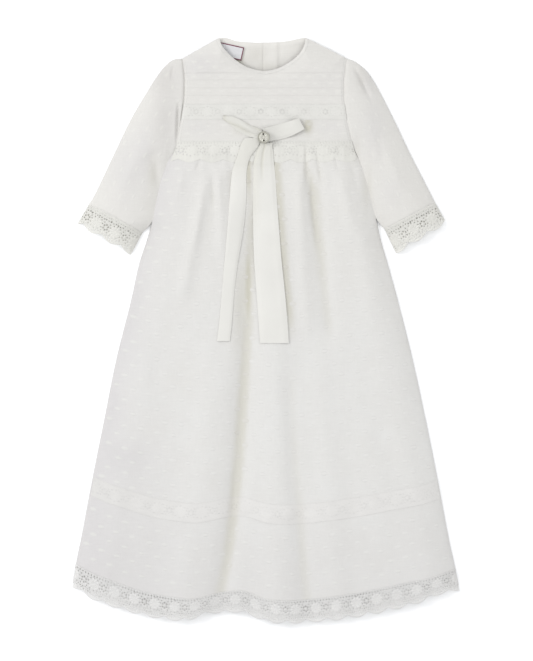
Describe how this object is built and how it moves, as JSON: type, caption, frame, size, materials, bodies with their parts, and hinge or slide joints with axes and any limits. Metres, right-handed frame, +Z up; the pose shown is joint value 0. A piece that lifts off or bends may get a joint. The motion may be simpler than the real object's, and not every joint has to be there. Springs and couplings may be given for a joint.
{
  "type": "christening gown",
  "caption": "Long ivory christening gown laid flat: tucked yoke, long sleeves and gathered skirt in dotted cotton, lace at cuffs, waist and hem, ribbon bow with a button.",
  "frame": {"origin": "centre of the gown's outline, on the surface that it lies on", "axes": "+Y runs from the hem to the neck, +X is the viewer's right with the front up, +Z is up out of the front"},
  "size_m": [0.5042, 0.7618, 0.0274],
  "materials": {
    "dotted_swiss": "matte cotton voile with woven dots",
    "cotton_lace": "matte cotton bobbin lace",
    "ribbon": "fine-ribbed ribbon, low sheen",
    "pewter": "aged satin metal",
    "woven_label": "woven satin with a border line"
  },
  "bodies": {
    "root": {"yoke_front": "dotted_swiss", "yoke_back_left": "dotted_swiss", "yoke_back_right": "dotted_swiss", "sleeve_left": "dotted_swiss", "sleeve_right": "dotted_swiss", "skirt_front": "dotted_swiss", "skirt_back": "dotted_swiss", "cuff_lace_left": "cotton_lace", "cuff_lace_right": "cotton_lace", "yoke_lace": "cotton_lace", "waist_lace": "cotton_lace", "insertion_lace": "cotton_lace", "hem_lace_front": "cotton_lace", "hem_lace_back": "cotton_lace", "bow_loop_left": "ribbon", "bow_loop_right": "ribbon", "bow_knot": "ribbon", "ribbon_tail_left": "ribbon", "ribbon_tail_right": "ribbon", "button": "pewter", "label": "woven_label"}
  },
  "joints": []
}
